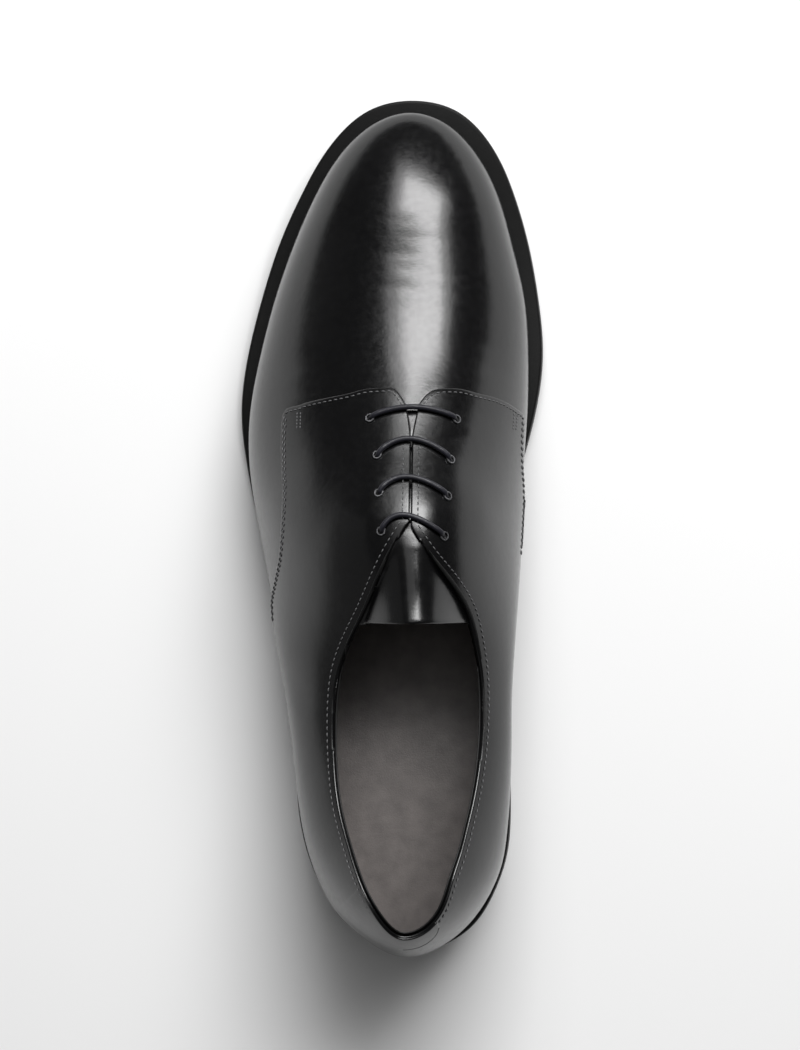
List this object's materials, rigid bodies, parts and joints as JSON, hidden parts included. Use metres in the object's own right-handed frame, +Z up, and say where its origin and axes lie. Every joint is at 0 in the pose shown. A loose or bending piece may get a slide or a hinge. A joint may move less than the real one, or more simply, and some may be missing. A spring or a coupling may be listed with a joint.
{
  "type": "derby shoe",
  "caption": "Left plain-toe derby shoe in polished black leather with open lacing, straight-laced bars, a welted leather sole and a low stacked heel",
  "frame": {"origin": "under the middle of the shoe's box, on the floor", "axes": "+Y to the toe, +X to the medial (big toe) side, +Z up"},
  "size_m": [0.1076, 0.3007, 0.0939],
  "materials": {
    "upper_leather": "high-gloss black calf leather with a faint grain",
    "sole_leather": "matte black edge-dyed sole leather",
    "heel_rubber": "matte black rubber",
    "insole_board": "plain tan insole leather, out of sight",
    "sock_leather": "grey-brown sock leather, slightly polished at the heel",
    "lace_cord": "waxed round black cord",
    "eyelet_metal": "small dark rims with a light edge"
  },
  "bodies": {
    "root": {"outsole": "sole_leather", "welt": "sole_leather", "heel_stack": "sole_leather", "top_piece": "heel_rubber", "insole": "insole_board", "sock_liner": "sock_leather", "upper": "upper_leather", "tongue": "upper_leather", "lace_bar_1": "lace_cord", "lace_bar_2": "lace_cord", "lace_bar_3": "lace_cord", "lace_bar_4": "lace_cord", "eyelet_lateral_1": "eyelet_metal", "eyelet_lateral_2": "eyelet_metal", "eyelet_lateral_3": "eyelet_metal", "eyelet_lateral_4": "eyelet_metal", "eyelet_medial_1": "eyelet_metal", "eyelet_medial_2": "eyelet_metal", "eyelet_medial_3": "eyelet_metal", "eyelet_medial_4": "eyelet_metal"}
  },
  "joints": []
}
